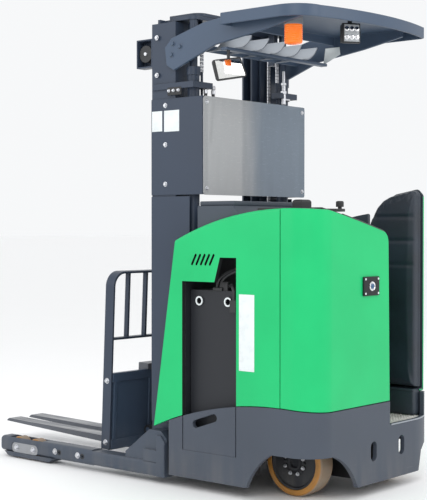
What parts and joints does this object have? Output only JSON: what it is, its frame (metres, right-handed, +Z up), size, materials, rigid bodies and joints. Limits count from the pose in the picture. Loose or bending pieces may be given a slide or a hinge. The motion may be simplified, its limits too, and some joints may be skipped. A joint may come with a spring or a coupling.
{
  "type": "stand-up reach truck",
  "caption": "Stand-up electric reach truck: three-stage mast with overhead guard, scissor reach carriage with forks, wheeled base legs, side battery and rear operator compartment.",
  "frame": {"origin": "on the floor at the middle of the truck's bounding box", "axes": "+X forward along the forks, +Y to the truck's left, +Z up"},
  "size_m": [2.7344, 1.09, 2.49],
  "materials": {
    "green": "satin green paint",
    "grey": "satin blue-grey paint",
    "skirt_grey": "textured blue-grey paint",
    "charcoal": "matt charcoal paint",
    "panel_grey": "satin mid-grey paint",
    "steel": "zinc-plated steel",
    "chrome": "polished rod",
    "chain": "oiled steel",
    "louvre": "satin aluminium",
    "vinyl": "black vinyl",
    "mat": "ribbed grey rubber",
    "black_plastic": "black moulded plastic",
    "polyurethane": "amber polyurethane",
    "wheel_hub": "dark painted casting",
    "clear": "clear polycarbonate",
    "amber": "amber lens",
    "lamp_grey": "grey plastic",
    "mirror": "mirror"
  },
  "bodies": {
    "chassis": {"chassis_frame": "charcoal", "skirt": "skirt_grey", "side_panel_left": "green", "side_panel_right": "green", "hood": "green", "floor_mat": "mat", "operator_wall": "green", "lean_pad": "vinyl", "kick_panel": "black_plastic", "cowl": "panel_grey", "battery": "charcoal", "battery_lead": "black_plastic", "control_deck": "black_plastic", "hand_controls": "black_plastic", "display": "black_plastic", "sounder": "black_plastic", "leg_left": "grey", "leg_right": "grey", "load_axles_left": "steel", "load_axles_right": "steel", "mast_outer": "grey", "lift_cylinders": "grey", "mast_covers": "grey", "shield": "clear", "guard_frame": "grey", "guard_louvres": "louvre", "beacon_base": "lamp_grey", "beacon_lens": "amber", "work_lamp": "black_plastic", "mirror_panel": "mirror", "hose_bracket": "grey"},
    "gate_left": {"battery_gate_left": "skirt_grey"},
    "gate_right": {"battery_gate_right": "skirt_grey"},
    "drive_turret": {"drive_unit": "wheel_hub"},
    "drive_wheel": {"drive_hub": "wheel_hub", "drive_tyre": "polyurethane"},
    "caster": {"caster_fork": "charcoal"},
    "caster_roller": {"caster_wheel": "polyurethane"},
    "load_wheel_lr": {"load_wheel_left_rear": "polyurethane"},
    "load_wheel_lf": {"load_wheel_left_front": "polyurethane"},
    "load_wheel_rr": {"load_wheel_right_rear": "polyurethane"},
    "load_wheel_rf": {"load_wheel_right_front": "polyurethane"},
    "mast_middle": {"mast_middle": "grey", "lift_chains": "chain"},
    "mast_inner": {"mast_inner": "grey", "free_lift_cylinder": "grey"},
    "free_lift": {"free_lift_head": "chrome"},
    "lift_carriage": {"lift_carriage": "charcoal"},
    "reach_outer": {"reach_arms_outer": "charcoal"},
    "reach_inner": {"reach_arms_inner": "charcoal"},
    "reach_head": {"reach_head": "charcoal"},
    "forks": {"fork_carriage": "grey", "load_backrest": "grey", "fork_left": "grey", "fork_right": "grey"}
  },
  "joints": [
    {"name": "gate_left_lift", "type": "slide", "parent": "chassis", "child": "gate_left", "axis": [0, 0, 1], "range_m": [0, 0.25]},
    {"name": "gate_right_lift", "type": "slide", "parent": "chassis", "child": "gate_right", "axis": [0, 0, 1], "range_m": [0, 0.25]},
    {"name": "steer", "type": "hinge", "parent": "chassis", "child": "drive_turret", "pos_m": [-1.0552, 0.27, 0.396], "axis": [0, 0, 1], "range_deg": [-90, 90]},
    {"name": "drive_spin", "type": "hinge", "parent": "drive_turret", "child": "drive_wheel", "pos_m": [-1.0552, 0.27, 0.1715], "axis": [0, 1, 0], "continuous": true},
    {"name": "caster_swivel", "type": "hinge", "parent": "chassis", "child": "caster", "pos_m": [-1.1032, -0.352, 0.3], "axis": [0, 0, 1], "continuous": true},
    {"name": "caster_spin", "type": "hinge", "parent": "caster", "child": "caster_roller", "pos_m": [-1.1482, -0.352, 0.09], "axis": [0, 1, 0], "continuous": true},
    {"name": "load_spin_lr", "type": "hinge", "parent": "chassis", "child": "load_wheel_lr", "pos_m": [0.6608, 0.496, 0.0625], "axis": [0, 1, 0], "continuous": true},
    {"name": "load_spin_lf", "type": "hinge", "parent": "chassis", "child": "load_wheel_lf", "pos_m": [0.8048, 0.496, 0.0625], "axis": [0, 1, 0], "continuous": true},
    {"name": "load_spin_rr", "type": "hinge", "parent": "chassis", "child": "load_wheel_rr", "pos_m": [0.6608, -0.496, 0.0625], "axis": [0, 1, 0], "continuous": true},
    {"name": "load_spin_rf", "type": "hinge", "parent": "chassis", "child": "load_wheel_rf", "pos_m": [0.8048, -0.496, 0.0625], "axis": [0, 1, 0], "continuous": true},
    {"name": "mast_middle_lift", "type": "slide", "parent": "chassis", "child": "mast_middle", "axis": [0, 0, 1], "range_m": [0, 1.5]},
    {"name": "mast_inner_lift", "type": "slide", "parent": "mast_middle", "child": "mast_inner", "axis": [0, 0, 1], "range_m": [0, 1.5]},
    {"name": "carriage_lift", "type": "slide", "parent": "mast_inner", "child": "lift_carriage", "axis": [0, 0, 1], "range_m": [0, 1.5]},
    {"name": "free_lift_rise", "type": "slide", "parent": "mast_inner", "child": "free_lift", "axis": [0, 0, 1], "range_m": [0, 0.75]},
    {"name": "reach", "type": "hinge", "parent": "lift_carriage", "child": "reach_outer", "pos_m": [-0.1492, 0, 0.90498], "axis": [0, -1, 0], "range_deg": [0, 48]},
    {"name": "reach_cross", "type": "hinge", "parent": "reach_outer", "child": "reach_inner", "pos_m": [-0.0592, 0, 0.53579], "axis": [0, -1, 0], "range_deg": [-96, 0]},
    {"name": "reach_level", "type": "hinge", "parent": "reach_inner", "child": "reach_head", "pos_m": [0.0308, 0, 0.90498], "axis": [0, -1, 0], "range_deg": [0, 48]},
    {"name": "fork_tilt", "type": "hinge", "parent": "reach_head", "child": "forks", "pos_m": [0.1208, 0, 0.19], "axis": [0, -1, 0], "range_deg": [-4, 1.5]}
  ],
  "couplings": [
    {"joint": "mast_inner_lift", "follows": "mast_middle_lift", "ratio": 1},
    {"joint": "free_lift_rise", "follows": "carriage_lift", "ratio": 0.5},
    {"joint": "reach_cross", "follows": "reach", "ratio": -2},
    {"joint": "reach_level", "follows": "reach", "ratio": 1}
  ]
}
